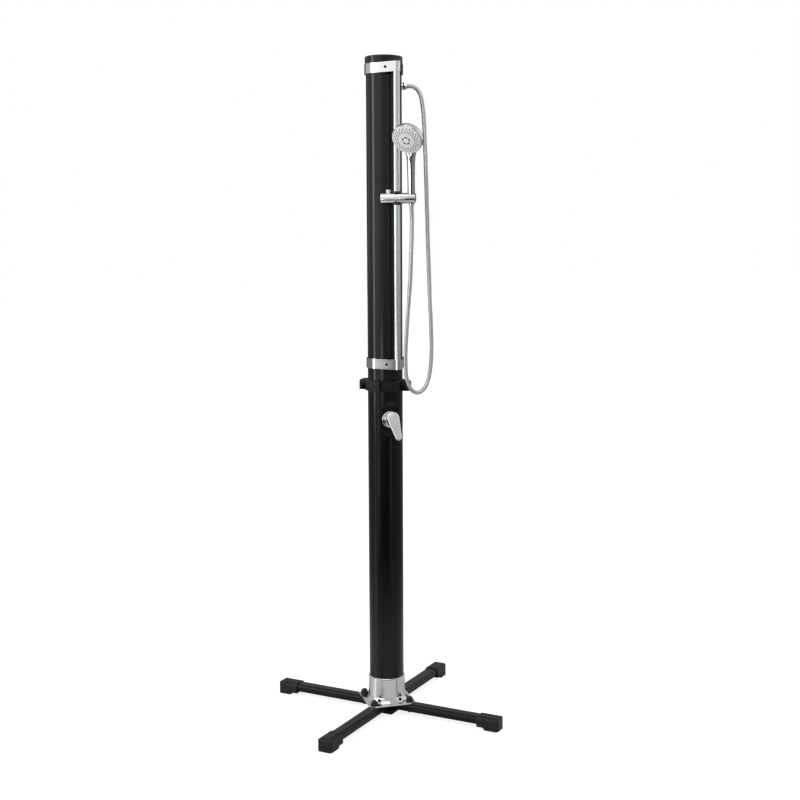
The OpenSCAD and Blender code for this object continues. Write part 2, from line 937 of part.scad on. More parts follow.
module band_liner() {
    color("#1b1b1b")
        translate([0, 0, lower_band_z + 1])
            ring(skirt_r, column_r + seat_gap, band_h - 2);
}

module band_screws() {
    color("#3c3d3f")
        rotate([0, 0, upper_turn])
            for (z = [lower_band_z, upper_band_z])
                at_band_screw(z)
                    difference() {
                        union() {
                            translate([0, 0, -9])
                                cylinder(h = 9 + seat_gap + eps, d = band_screw_d, $fn = 48);
                            translate([0, 0, seat_gap])
                                cylinder(h = 2, d = band_screw_head_d, $fn = 48);
                        }
                        for (turn = [0, 90])
                            rotate([0, 0, turn])
                                translate([-2.5, -0.6, 1.2])
                                    cube([5, 1.2, 2]);
                    }
}

module at_rail() {
    rotate([0, 0, upper_turn])
        translate([0, -rail_offset, 0])
            children();
}

module slide_rail() {
    color("#d5d7d9")
        at_rail()
            translate([0, 0, lower_band_z + plug_t])
                ring(rail_d / 2, rail_d / 2 - rail_wall, upper_band_z + band_h - lower_band_z - 2 * plug_t);
}

module rail_plugs() {
    top = upper_band_z + band_h - plug_t;
    spigot = rail_d / 2 - rail_wall - seat_gap;
    color("#161616")
        at_rail()
            union() {
                translate([0, 0, lower_band_z])
                    cylinder(h = plug_t - eps, r = rail_d / 2);
                translate([0, 0, lower_band_z + plug_t - 2 * eps])
                    cylinder(h = 10, r = spigot);
                translate([0, 0, top + eps])
                    cylinder(h = plug_t - eps, r = rail_d / 2);
                translate([0, 0, top - 10 + 2 * eps])
                    cylinder(h = 10, r = spigot);
            }
}

// Frame of the outlet, inside the frame of the upper column: Z points outwards
module at_outlet() {
    rotate([0, 0, outlet_turn])
        translate([0, 0, outlet_z])
            rotate([90, 0, 0])
                children();
}

function outlet_point(r) =
    let (a = upper_turn + outlet_turn) [r * sin(a), -r * cos(a), outlet_z];

module outlet_fitting() {
    color("#d8dadd")
        rotate([0, 0, upper_turn])
            at_outlet()
                difference() {
                    translate([0, 0, column_in_r - 4])
                        cylinder(h = washer_at - column_in_r + 4 - seat_gap, r = thread_half_r);
                    translate([0, 0, column_in_r - 5])
                        cylinder(h = 30, r = 6 + seat_gap);
                }
}

module outlet_washer() {
    color("#121212")
        rotate([0, 0, upper_turn])
            at_outlet()
                translate([0, 0, washer_at])
                    ring(11.2, 6.5, washer_t - seat_gap);
}

module hose_nut() {
    color("#d0d2d5")
        rotate([0, 0, upper_turn])
            at_outlet()
                translate([0, 0, washer_at + washer_t])
                    union() {
                        cylinder(h = 5.5, d = 21 / cos(30), $fn = 6);
                        translate([0, 0, 5.5 - eps])
                            cylinder(h = hose_nut_len - 5.5, r1 = 10.2, r2 = hose_d / 2 + 0.9);
                    }
}

// Slider and handset

// Frame of the slider: X runs along the barrel to the holder, -Y to the user
module in_slider() {
    at_rail()
        translate([0, 0, slider_z])
            rotate([0, 0, barrel_turn])
                children();
}

module slider_bush() {
    bush_in = rail_d / 2 + run_gap;
    color("#2a2a2a")
        in_slider()
            difference() {
                union() {
                    translate([0, 0, -bush_half])
                        cylinder(h = 2 * bush_half, r = bush_r);
                    for (end = [-1, 1])
                        translate([0, 0, end * (bush_half - collar_t / 2) - collar_t / 2])
                            cylinder(h = collar_t, r = collar_r);
                }
                translate([0, 0, -bush_half - 1])
                    cylinder(h = 2 * bush_half + 2, r = bush_in);
            }
}

module slider_barrel() {
    r = barrel_d / 2;
    color("#d9dbde")
        in_slider()
            difference() {
                rotate([0, 90, 0])
                    rotate_extrude()
                        polygon(concat(
                            [[0, -barrel_left]],
                            arc(r - 1.5, -barrel_left + 1.5, 1.5, -90, 0, 4),
                            [[r, barrel_right - move_gap - 0.6],
                             [r - 0.6, barrel_right - move_gap],
                             [spigot_r, barrel_right - move_gap],
                             [spigot_r, barrel_right + spigot_len],
                             [0, barrel_right + spigot_len]]));
                translate([0, 0, -r - 1])
                    cylinder(h = 2 * r + 2, r = bush_r + run_gap);
                translate([-button_offset, 0, button_bore_floor])
                    cylinder(h = 2 * r, d = button_d + 0.7);
            }
}

module slider_button() {
    r = button_d / 2;
    top = barrel_d / 2 + button_h;
    color("#d9dbde")
        in_slider()
            translate([-button_offset, 0, 0])
                rotate_extrude()
                    polygon(concat(
                        [[0, top - button_h - button_skirt], [r, top - button_h - button_skirt]],
                        arc(r - 1.5, top - 1.5, 1.5, 0, 90, 4),
                        [[0, top]]));
}

module button_spring() {
    low = button_bore_floor + spring_wire / 2 + 0.1;
    high = barrel_d / 2 - button_skirt - spring_wire / 2 - 0.1;
    steps = 14;
    coil = [for (i = [0:spring_turns * steps])
        [spring_r * cos(360 * i / steps), spring_r * sin(360 * i / steps),
         low + (high - low) * i / (spring_turns * steps)]];
    color("#9a9c9f")
        in_slider()
            translate([-button_offset, 0, 0])
                tube_along(coil, spring_wire / 2, 6, [0, 0, 1]);
}

// Frame of the holder's cone: Z runs up the handset's axis, -Y to the open side
module in_cone() {
    in_slider()
        translate([holder_offset, 0, 0])
            rotate([handset_lean, 0, 0])
                rotate([0, -handset_side_lean, 0])
                    children();
}

// Frame of the handset: Z runs up its handle, -Y to the side the face looks to
module in_handset() {
    in_cone()
        rotate([0, 0, handset_turn])
            children();
}

module handset_holder() {
    r = barrel_d / 2;
    end = barrel_right + holder_len;
    bore_gap = 0.3;
    color("#d9dbde")
        difference() {
            in_slider()
                difference() {
                    rotate([0, 90, 0])
                        rotate_extrude()
                            polygon(concat(
                                [[spigot_r + run_gap, barrel_right + 0.6], [r - 0.6, barrel_right],
                                 [r, barrel_right + 0.6]],
                                arc(r - 4, end - 4, 4, 0, 90, 6),
                                [[0, end], [0, barrel_right + spigot_len + 0.4],
                                 [spigot_r + run_gap, barrel_right + spigot_len + 0.4]]));
                }
            in_cone()
                translate([0, 0, -r - 4])
                    cylinder(h = 2 * r + 8,
                             r1 = cone_bottom_r + bore_gap,
                             r2 = cone_top_r + bore_gap + 0.5);
            in_cone()
                translate([0, -slot_w / 2, -2 * r])
                    cube([holder_len, slot_w, 4 * r]);
        }
}

module hose_cone_nut() {
    slope = (cone_top_r - cone_bottom_r) / (barrel_d + 8);
    low = cone_top_z - cone_nut_len;
    color("#cfd1d4")
        in_cone()
            translate([0, 0, low])
                cylinder(h = cone_nut_len - 0.1,
                         r1 = cone_bottom_r + slope * (low + barrel_d / 2 + 4),
                         r2 = cone_bottom_r + slope * (cone_top_z + barrel_d / 2 + 4));
}

// Height of the face at a distance from its middle
function dome_z(x) =
    face_inset + face_dome - dome_curve_r + sqrt(pow(dome_curve_r, 2) - x * x);

// Frame of the spray face: Z points out of the face
module in_face() {
    in_handset()
        translate([0, -face_forward, face_rise])
            rotate([90 + face_tilt, 0, 0])
                children();
}

module handset_body() {
    r = handle_d / 2;
    color("#cdcfd2")
        difference() {
            union() {
                in_handset()
                    rotate_extrude()
                        polygon([
                            [0, handle_bottom], [r - 1.4, handle_bottom],
                            [r - 0.8, handle_bottom + 1], [r - 0.9, handle_bottom + 40],
                            [r - 0.2, handle_bottom + 90], [r, handle_top],
                            [0, handle_top]]);
                hull() {
                    in_handset()
                        translate([0, 0, handle_top - 3])
                            cylinder(h = 2, r = r + 0.6, $fn = 28);
                    in_face()
                        translate([0, -14, -head_depth + 4])
                            cylinder(h = head_depth - 16, r = 25, $fn = 28);
                }
                in_face()
                    rotate_extrude()
                        polygon(concat(
                            [[0, 0], [head_d / 2 - 1.2, 0]],
                            arc(head_d / 2 - 1.5, -1.5, 1.5, 90, 0, 3),
                            arc(head_d / 2 - 6, -rim_t, 6, 0, -60, 5),
                            [[28, -head_depth + 1], [0, -head_depth]]));
            }
            in_face()
                translate([0, 0, -face_t - move_gap])
                    cylinder(h = face_t + 20, r = face_d / 2 + run_gap);
        }
}

module spray_face() {
    r = face_d / 2;
    color("#c9cbce")
        in_face()
            difference() {
                rotate_extrude()
                    polygon(concat(
                        [[0, -face_t], [r, -face_t]],
                        [for (i = [0:10]) [r * (10 - i) / 10, dome_z(r * (10 - i) / 10)]]));
                mat_ring(seat_gap, 3);
                at_jets()
                    translate([0, 0, dome_z(jet_ring_r) - 2])
                        linear_extrude(4)
                            jet_outline(seat_gap);
            }
}

// Ring under the domed face's surface that holds the nozzles, larger by a gap
module mat_ring(gap, over) {
    from = mat_in_r - gap;
    to = mat_out_r + gap;
    steps = 6;
    line = [for (i = [0:steps]) from + (to - from) * i / steps];
    rotate_extrude()
        polygon(concat(
            [for (x = line) [x, dome_z(x) - mat_t - gap]],
            [for (i = [steps:-1:0]) [line[i], dome_z(line[i]) + over]]));
}

module nozzle_mat() {
    color("#b9bbbe")
        in_face()
            union() {
                mat_ring(0, 0);
                for (i = [0:len(ring_radii) - 1])
                    for (k = [0:nozzles_per_ring - 1])
                        rotate([0, 0, (k + i / 2) * 360 / nozzles_per_ring])
                            translate([ring_radii[i], 0, dome_z(ring_radii[i]) - 0.5])
                                cylinder(h = 1.7, r = 1.3, $fn = 12);
            }
}

module at_jets() {
    for (k = [0:4])
        rotate([0, 0, 72 * k + 90])
            translate([jet_ring_r, 0, 0])
                children();
}

module jet_outline(grow) {
    square([jet_w + 2 * grow, jet_len + 2 * grow], center = true);
}

module centre_jets() {
    color("#101010")
        in_face()
            at_jets()
                translate([0, 0, dome_z(jet_ring_r) - 1.8])
                    linear_extrude(2.2)
                        jet_outline(0);
}

module shower_hose() {
    color("#b8babd")
        tube_along(hose_route, hose_d / 2, 12, [0, 1, 0]);
}

leg_bar_lower();
leg_bar_upper();
end_cap_front_right();
end_cap_front_left();
end_cap_rear_left();
end_cap_rear_right();
centre_pad();
base_socket();
flange_bolts();
knob_nuts();
socket_screws();
lower_column();
drain_plug();
inlet_fitting();
mixer_body();
mixer_cartridge();
mixer_escutcheon();
mixer_dome();
mixer_lever();
cold_pipe();
hot_pipe();
riser_pipe();
union_nut();
union_slip_ring();
union_seal();
upper_column();
top_cap();
cap_seal();
upper_band();
lower_band();
upper_spacer();
lower_spacer();
band_liner();
band_screws();
slide_rail();
rail_plugs();
slider_bush();
slider_barrel();
slider_button();
button_spring();
handset_holder();
handset_body();
spray_face();
nozzle_mat();
centre_jets();
outlet_fitting();
outlet_washer();
hose_nut();
hose_cone_nut();
shower_hose();
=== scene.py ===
import math

import bpy
from mathutils import Matrix, Vector


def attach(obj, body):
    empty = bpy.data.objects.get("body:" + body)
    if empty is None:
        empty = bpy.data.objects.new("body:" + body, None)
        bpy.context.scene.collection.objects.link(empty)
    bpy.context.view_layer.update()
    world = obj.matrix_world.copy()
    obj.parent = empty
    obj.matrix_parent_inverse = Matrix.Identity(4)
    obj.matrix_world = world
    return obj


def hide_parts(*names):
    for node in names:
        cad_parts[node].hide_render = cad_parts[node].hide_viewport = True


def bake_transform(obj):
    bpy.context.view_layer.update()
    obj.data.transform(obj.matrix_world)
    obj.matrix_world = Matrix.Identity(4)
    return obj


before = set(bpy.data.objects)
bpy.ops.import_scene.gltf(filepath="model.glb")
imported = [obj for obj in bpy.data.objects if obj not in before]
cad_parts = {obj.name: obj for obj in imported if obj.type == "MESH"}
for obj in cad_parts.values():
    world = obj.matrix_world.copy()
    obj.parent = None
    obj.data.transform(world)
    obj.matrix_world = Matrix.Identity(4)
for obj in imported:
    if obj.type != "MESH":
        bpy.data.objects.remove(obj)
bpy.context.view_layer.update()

MM = 0.001
VIEW_TURN = math.radians(-16.9)


# Camera: fitted to the legs, the column and the bands in the photograph

CAMERA_DISTANCE = 4.2806
CAMERA_HEIGHT = 1.6016
CAMERA_PITCH = 0.12554
CAMERA_PAN = 0.0113
CAMERA_ROLL = -0.0037
FOCAL_PIXELS = 1306.5
IMAGE_PIXELS = 800
SENSOR_MM = 36.0


def make_camera():
    pan, pitch, roll = CAMERA_PAN, CAMERA_PITCH, CAMERA_ROLL
    ahead = Vector((math.sin(pan) * math.cos(pitch), math.cos(pan) * math.cos(pitch),
                    -math.sin(pitch)))
    right = Vector((math.cos(pan), -math.sin(pan), 0))
    up = right.cross(ahead)
    across = right * math.cos(roll) + up * math.sin(roll)
    upward = up * math.cos(roll) - right * math.sin(roll)
    turn = Matrix.Rotation(VIEW_TURN, 3, "Z")
    axes = Matrix([turn @ across, turn @ upward, turn @ -ahead]).transposed()
    camera = bpy.data.objects.new("camera", bpy.data.cameras.new("camera"))
    bpy.context.scene.collection.objects.link(camera)
    place = turn @ Vector((0, -CAMERA_DISTANCE, CAMERA_HEIGHT))
    camera.matrix_world = Matrix.Translation(place) @ axes.to_4x4()
    camera.data.sensor_width = SENSOR_MM
    camera.data.lens = FOCAL_PIXELS * SENSOR_MM / IMAGE_PIXELS
    camera.data.clip_end = 50
    bpy.context.scene.camera = camera


make_camera()


# Places on the handset, in millimetres

UPPER_TURN, BARREL_TURN, RAIL_OFFSET, SLIDER_Z = 8.0, -34.0, 95.0, 1718.0
HOLDER_OFFSET, HANDSET_LEAN, HANDSET_SIDE_LEAN, HANDSET_TURN = 46.5, 15.0, -1.5, -14.0
FACE_FORWARD, FACE_RISE, FACE_TILT = 34.0, 190.5, 20.8

# Marks on the spray face: three staggered rings of dark nozzles with painted shade in the recess
# round each, a ring of fine holes with painted shade in them, five jets with painted shade in the
# seat gaps round them

NOZZLE_RINGS, NOZZLES_PER_RING, NOZZLE_DARK_R = (28.0, 34.0, 40.0), 22, 2.1
FINE_HOLE_RING_R, FINE_HOLES, FINE_HOLE_R = 19.0, 12, 1.1
JET_RING_R, JETS, JET_W, JET_LEN, JET_SHADE_RIM = 11.0, 5, 3.2, 9.0, 0.6
DOT_EDGE = 0.1


def turned(axis, degrees):
    return Matrix.Rotation(math.radians(degrees), 4, axis)


SLIDER = (turned("Z", UPPER_TURN) @ Matrix.Translation((0, -RAIL_OFFSET, SLIDER_Z))
          @ turned("Z", BARREL_TURN))
HANDSET = (SLIDER @ Matrix.Translation((HOLDER_OFFSET, 0, 0)) @ turned("X", HANDSET_LEAN)
           @ turned("Y", -HANDSET_SIDE_LEAN) @ turned("Z", HANDSET_TURN))
FACE = HANDSET @ Matrix.Translation((0, -FACE_FORWARD, FACE_RISE)) @ turned("X", 90 + FACE_TILT)


# Nodes and materials

def add(tree, kind, inputs=None, **settings):
    """A node with its settings; inputs are values or sockets to link from."""
    made = tree.nodes.new(kind)
    for key, value in settings.items():
        setattr(made, key, value)
    for key, value in (inputs or {}).items():
        if isinstance(value, bpy.types.NodeSocket):
            tree.links.new(value, made.inputs[key])
        else:
            made.inputs[key].default_value = value
    return made


def maths(tree, operation, *values):
    return add(tree, "ShaderNodeMath", dict(enumerate(values)), operation=operation).outputs[0]


def vectors(tree, operation, inputs, output=0):
    return add(tree, "ShaderNodeVectorMath", inputs, operation=operation).outputs[output]


def colour(code):
    """sRGB hex to linear."""
    channels = [int(code[i:i + 2], 16) / 255 for i in (1, 3, 5)]
    return [c / 12.92 if c <= 0.04045 else ((c + 0.055) / 1.055) ** 2.4 for c in channels] + [1.0]


# Slow clouds that vary the grain from place to place, and how much of the two reaches the tones
CLOUD_MM = 1000.0 / 14.0
GRAIN_LOW, GRAIN_HIGH = 0.12, 0.42


def surface(name, tones, rough, grain_mm, bump_mm, metallic=0.0, stretch=(1, 1, 1), ior=None,
            mask=None, specular=None):
    """One finish: two tones and two roughnesses, mixed by a grain of a real size or by a mask,
    and the grain's relief."""
    made = bpy.data.materials.new(name)
    made.use_nodes = True
    tree = made.node_tree
    shader = tree.nodes["Principled BSDF"]
    place = add(tree, "ShaderNodeTexCoord").outputs["Object"]
    place = add(tree, "ShaderNodeMapping", {"Vector": place, "Scale": stretch}).outputs[0]
    grain = add(tree, "ShaderNodeTexNoise", {"Vector": place, "Scale": 1000.0 / grain_mm,
                                             "Detail": 3.0, "Roughness": 0.55}).outputs[0]
    if mask:
        factor = mask(tree)
    else:
        cloud = add(tree, "ShaderNodeTexNoise", {"Vector": place, "Scale": 1000.0 / CLOUD_MM,
                                                 "Detail": 2.0}).outputs[0]
        factor = add(tree, "ShaderNodeMapRange", {0: maths(tree, "MULTIPLY", grain, cloud),
                                                  1: GRAIN_LOW, 2: GRAIN_HIGH}).outputs[0]
    tone = add(tree, "ShaderNodeMix", {0: factor, 6: colour(tones[0]), 7: colour(tones[1])},
               data_type="RGBA").outputs[2]
    gloss = add(tree, "ShaderNodeMapRange", {0: factor, 3: rough[0], 4: rough[1]}).outputs[0]
    relief = add(tree, "ShaderNodeBump", {"Height": grain, "Distance": bump_mm * MM,
                                          "Strength": 1.0}).outputs[0]
    tree.links.new(tone, shader.inputs["Base Color"])
    tree.links.new(gloss, shader.inputs["Roughness"])
    tree.links.new(relief, shader.inputs["Normal"])
    shader.inputs["Metallic"].default_value = metallic
    if ior:
        shader.inputs["IOR"].default_value = ior
    if specular is not None:
        shader.inputs["Specular IOR Level"].default_value = specular
    return made


def crowns_over_painted_seam_shade(tree):
    """1 on the crowns of the hose's turns, 0 in the seams between them, where the tone is painted
    shade.
    """
    return add(tree, "ShaderNodeAttribute", attribute_name="crown").outputs["Fac"]


def face_place(tree):
    """Radius and angle of the shaded point on the spray face, in millimetres and radians."""
    place = add(tree, "ShaderNodeTexCoord").outputs["Object"]
    centre = FACE.to_translation() * MM
    place = vectors(tree, "SUBTRACT", {0: place, 1: centre})
    x, y = [vectors(tree, "DOT_PRODUCT", {0: place, 1: FACE.col[i].xyz / MM}, "Value")
            for i in (0, 1)]
    flat = add(tree, "ShaderNodeCombineXYZ", {0: x, 1: y}).outputs[0]
    radius = vectors(tree, "LENGTH", {0: flat}, "Value")
    return radius, maths(tree, "ARCTAN2", y, x)


def off_nearest(tree, radius, angle, count, start):
    """Distances along and across the ray to the nearest of several places round a ring."""
    turns = maths(tree, "MULTIPLY_ADD", angle, count / (2 * math.pi), start)
    part = maths(tree, "SUBTRACT", maths(tree, "FRACT", maths(tree, "ADD", turns, 0.5)), 0.5)
    part = maths(tree, "MULTIPLY", part, 2 * math.pi / count)
    return (maths(tree, "MULTIPLY", radius, maths(tree, "COSINE", part)),
            maths(tree, "MULTIPLY", radius, maths(tree, "SINE", part)))


def dots(tree, radius, angle, ring_r, count, start, dot_r):
    """1 on round dots spaced round a ring."""
    along, across = off_nearest(tree, radius, angle, count, start)
    away = add(tree, "ShaderNodeCombineXYZ", {0: maths(tree, "SUBTRACT", along, ring_r),
                                              1: across}).outputs[0]
    away = vectors(tree, "LENGTH", {0: away}, "Value")
    return add(tree, "ShaderNodeMapRange", {0: away, 1: dot_r + DOT_EDGE,
                                            2: dot_r - DOT_EDGE}).outputs[0]


def nozzles_and_painted_recess_shade(tree):
    """1 on the dark nozzles and on the ring that each one stands in, which is painted shade of its
    recess.
    """
    radius, angle = face_place(tree)
    found = [dots(tree, radius, angle, ring, NOZZLES_PER_RING, -k / 2, NOZZLE_DARK_R)
             for k, ring in enumerate(NOZZLE_RINGS)]
    return maths(tree, "ADD", maths(tree, "ADD", found[0], found[1]), found[2])


def painted_jet_and_hole_shade(tree):
    """Painted shade: 1 in the seat gaps round the centre jets, and part of that in the ring of
    fine holes outside them.
    """
    radius, angle = face_place(tree)
    # Painted shade in the fine holes, at 0.3 of full dark
    holes = dots(tree, radius, angle, FINE_HOLE_RING_R, FINE_HOLES, 0.0, FINE_HOLE_R)
    holes = maths(tree, "MULTIPLY", holes, 0.3)
    # Painted shade in the seat gap, a rim wider than each jet
    along, across = off_nearest(tree, radius, angle, JETS, -JETS / 4)
    inward = maths(tree, "ABSOLUTE", maths(tree, "SUBTRACT", along, JET_RING_R))
    near = maths(tree, "LESS_THAN", inward, JET_W / 2 + JET_SHADE_RIM)
    side = maths(tree, "LESS_THAN", maths(tree, "ABSOLUTE", across), JET_LEN / 2 + JET_SHADE_RIM)
    return maths(tree, "MAXIMUM", holes, maths(tree, "MULTIPLY", near, side))


# Blow-moulded HDPE: semi-gloss black with a faint orange peel that softens reflections
hdpe_lower = surface("black_hdpe_moulded", ("#060607", "#0a0a0b"), (0.17, 0.22), 3.0, 0.012,
                     ior=1.5, specular=0.3)
# The same tube higher up, its colour painted a shade greyer to stand in for the light that catches
# it
hdpe_upper_painted_lighter = surface("black_hdpe_painted_lighter_upper", ("#101011", "#161617"), (0.17, 0.22), 3.0, 0.012,
                     ior=1.5, specular=0.34)
# Injection-moulded polypropylene: matte black with a fine spark-eroded grain
pp_black = surface("black_polypropylene", ("#09090a", "#101011"), (0.42, 0.55), 0.9, 0.03,
                   ior=1.49, specular=0.35)
# Rubber: dull, slightly dusty black
rubber = surface("black_rubber", ("#0b0b0b", "#151515"), (0.7, 0.85), 1.4, 0.03, ior=1.45)
# Powder coat on steel: satin black with a fine, even orange peel
powder_coat = surface("black_powder_coat", ("#08080a", "#0e0e0f"), (0.3, 0.4), 1.6, 0.03,
                      ior=1.5, specular=0.22)
# Chromed zinc casting: bright, with the slight waviness of a polished casting
chromed_zinc = surface("chromed_zinc", ("#c9cbce", "#d9dbdd"), (0.1, 0.18), 6.0, 0.015,
                       metallic=1.0)
# Chromed ABS: mirror bright over a moulded surface, with a hint of warmth lost
chromed_abs = surface("chromed_abs", ("#d2d4d7", "#e0e2e4"), (0.06, 0.12), 8.0, 0.008,
                      metallic=1.0)
# Satin chrome on the lever: the same metal, blasted before plating
satin_chrome = surface("satin_chrome", ("#dcdddf", "#e8e9ea"), (0.26, 0.34), 1.0, 0.01,
                       metallic=1.0)
# Stainless steel, ground along the rail: fine long scratches blur reflections along it
stainless_rail = surface("stainless_ground", ("#c6c8ca", "#d8dadb"), (0.14, 0.24), 0.8, 0.004,
                         metallic=1.0, stretch=(1, 1, 0.02))
# Stainless strip, bright rolled: nearly a mirror, with scratches round the strap
stainless_strip = surface("stainless_strip", ("#d0d2d4", "#dfe0e1"), (0.05, 0.09), 1.2, 0.002,
                          metallic=1.0, stretch=(0.1, 0.1, 1))
# Zinc-plated steel bolts: duller and greyer
zinc_steel = surface("zinc_plated_steel", ("#8d8f92", "#a4a6a8"), (0.3, 0.45), 1.5, 0.01,
                     metallic=1.0)
# Blackened steel of the screws: near black with a soft metal glint
black_steel = surface("blackened_steel", ("#121213", "#1d1d1e"), (0.28, 0.4), 1.0, 0.01,
                      metallic=0.6)
# Machined brass of the inlet and the mixer's body: warm yellow with fine tool marks
brass = surface("machined_brass", ("#b08a44", "#c9a45c"), (0.2, 0.32), 1.0, 0.01, metallic=1.0)
# Acetal of the bushes: smooth dark grey bearing plastic with a waxy sheen
acetal = surface("acetal", ("#1c1c1d", "#262627"), (0.3, 0.4), 1.2, 0.008, ior=1.48)
# Cross-linked polyethylene pipe inside the tank: milky grey, waxy
pipe_plastic = surface("pex_pipe", ("#a9adb2", "#bcc0c4"), (0.35, 0.45), 2.0, 0.01, ior=1.5)
# Light grey ABS of the spray face: smooth satin, black with painted shade in the seat gaps round
# the jets, and dimmer painted shade in the fine holes
abs_face = surface("light_grey_abs", ("#f6f6f7", "#101010"), (0.24, 0.3), 1.5, 0.006, ior=1.53,
                   mask=painted_jet_and_hole_shade)
# Silicone nozzle mat: the face's light grey with dark nozzles, painted shade in the recess round
# each, rubbery sheen
silicone = surface("grey_silicone", ("#f5f5f6", "#101112"), (0.45, 0.6), 0.8, 0.01, ior=1.41,
                   mask=nozzles_and_painted_recess_shade)
# Black silicone of the centre jets: soft and dull, so the slots read as dark marks
silicone_black = surface("black_silicone", ("#121212", "#1c1c1c"), (0.45, 0.6), 0.8, 0.01,
                         ior=1.41)
# Interlocked steel strip of the hose: bright crowns, painted shade darkening the seams between the
# turns
hose_steel = surface("interlocked_steel", ("#76787a", "#dadcdd"), (0.38, 0.18), 2.0, 0.005,
                     metallic=1.0, mask=crowns_over_painted_seam_shade)

NODE_FINISH = {
    powder_coat: ["leg_bar_lower", "leg_bar_upper"],
    pp_black: ["end_cap_front_right", "end_cap_front_left", "end_cap_rear_left",
               "end_cap_rear_right", "knob_nuts", "union_nut", "upper_spacer", "lower_spacer",
               "band_liner", "rail_plugs", "drain_plug"],
    rubber: ["centre_pad", "outlet_washer", "union_seal", "cap_seal"],
    chromed_zinc: ["base_socket", "mixer_escutcheon", "mixer_dome"],
    zinc_steel: ["flange_bolts", "button_spring"],
    black_steel: ["socket_screws", "band_screws"],
    hdpe_lower: ["lower_column"],
    # The upper column and cap take the HDPE copy painted greyer for the light on them
    hdpe_upper_painted_lighter: ["upper_column", "top_cap"],
    brass: ["inlet_fitting", "mixer_body"],
    acetal: ["mixer_cartridge", "slider_bush", "union_slip_ring"],
    satin_chrome: ["mixer_lever", "slider_button"],
    pipe_plastic: ["cold_pipe", "hot_pipe", "riser_pipe"],
    stainless_strip: ["upper_band", "lower_band"],
    stainless_rail: ["slide_rail"],
    chromed_abs: ["slider_barrel", "handset_holder", "handset_body", "hose_cone_nut", "hose_nut",
                  "outlet_fitting"],
    abs_face: ["spray_face"],
    silicone: ["nozzle_mat"],
    silicone_black: ["centre_jets"],
    hose_steel: ["shower_hose"],
}


def set_material(made, finish):
    if not made.data.materials:
        made.data.materials.append(finish)
    for i in range(len(made.material_slots)):
        made.material_slots[i].material = finish


def smoothing_tree(name, angle_deg):
    """Merges a solid's loose triangles and shades it smooth up to its real edges."""
    tree = bpy.data.node_groups.new(name, "GeometryNodeTree")
    tree.interface.new_socket("Geometry", in_out="INPUT", socket_type="NodeSocketGeometry")
    tree.interface.new_socket("Geometry", in_out="OUTPUT", socket_type="NodeSocketGeometry")
    source = add(tree, "NodeGroupInput").outputs[0]
    merged = add(tree, "GeometryNodeMergeByDistance", {"Geometry": source, "Distance": 0.00001})
    angle = add(tree, "GeometryNodeInputMeshEdgeAngle").outputs[0]
    soft = add(tree, "FunctionNodeCompare", {0: angle, 1: math.radians(angle_deg)},
               data_type="FLOAT", operation="LESS_THAN").outputs[0]
    faces = add(tree, "GeometryNodeSetShadeSmooth", {"Geometry": merged.outputs[0],
                                                     "Shade Smooth": True}, domain="FACE")
    edges = add(tree, "GeometryNodeSetShadeSmooth", {"Geometry": faces.outputs[0],
                                                     "Shade Smooth": soft}, domain="EDGE")
    add(tree, "NodeGroupOutput", {0: edges.outputs[0]})
    return tree


SMOOTH_BELOW_DEG, BEVEL_ABOVE_DEG = 28, 40
smooth_edges = smoothing_tree("smooth_up_to_edges", SMOOTH_BELOW_DEG)
BEVEL_MM = {"base_socket": 0.8, "union_nut": 1.0, "knob_nuts": 0.5, "upper_band": 0.3,
            "lower_band": 0.3, "slider_bush": 0.4, "hose_nut": 0.5, "top_cap": 0.4}

for finish, names in NODE_FINISH.items():
    for name in names:
        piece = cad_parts[name]
        set_material(piece, finish)
        modifier = piece.modifiers.new("smooth", "NODES")
        modifier.node_group = smooth_edges
        if name in BEVEL_MM:
            bevel = piece.modifiers.new("bevel", "BEVEL")
            bevel.width = BEVEL_MM[name] * MM
            bevel.segments = 2
            bevel.limit_method = "ANGLE"
            bevel.angle_limit = math.radians(BEVEL_ABOVE_DEG)
            bevel.harden_normals = True


def link(name, mesh):
    made = bpy.data.objects.new(name, mesh)
    bpy.context.scene.collection.objects.link(made)
    return made


def plain_mesh(made, name):
    """The evaluated result as a plain mesh object at the origin; the working object goes."""
    bpy.context.view_layer.update()
    done = bpy.data.meshes.new_from_object(
        made.evaluated_get(bpy.context.evaluated_depsgraph_get()))
    done.name = name
    for modifier in list(made.modifiers):
        made.modifiers.remove(modifier)
    bpy.data.objects.remove(made)
    return link(name, done)


# The hose

HOSE_D = 13.5
HOSE_PITCH = 3.2
HOSE_SEAM_DEPTH = 0.8
HOSE_ROUTE = [
    (76, -13.4, 2076), (92, -16, 2075), (105, -20, 2067), (113, -24, 2054), (118, -28, 2036),
    (121, -31, 2010), (123, -35, 1980), (124, -39, 1940), (124, -43, 1895), (125, -47, 1850),
    (125, -51, 1800), (126, -54, 1750), (126, -57, 1700), (127, -60, 1650), (127, -62, 1600),
    (128, -65, 1550), (129, -67, 1500), (130, -70, 1445), (131, -72, 1390), (133, -75, 1335),
    (134, -78, 1280), (134, -80, 1235), (131, -83, 1190), (124, -86, 1148), (112, -90, 1116),
    (96, -94, 1099), (79, -98, 1094), (62, -101, 1101), (48, -104, 1120), (39, -106, 1150),
    (36, -108, 1190), (36, -109, 1235), (39, -110, 1290), (43, -111, 1350), (48, -111, 1410),
    (52, -111, 1470), (55, -109.5, 1530), (58, -107, 1585), (59.8, -104.4, 1630),
    (60.2, -103.4, 1655), (59.7, -104, 1670), (58.5, -106, 1683.7), (57.14, -109.3, 1697.2)]
LOOP_STARTS, LOOP_BOTTOM = 21, 26
STEPS = 12


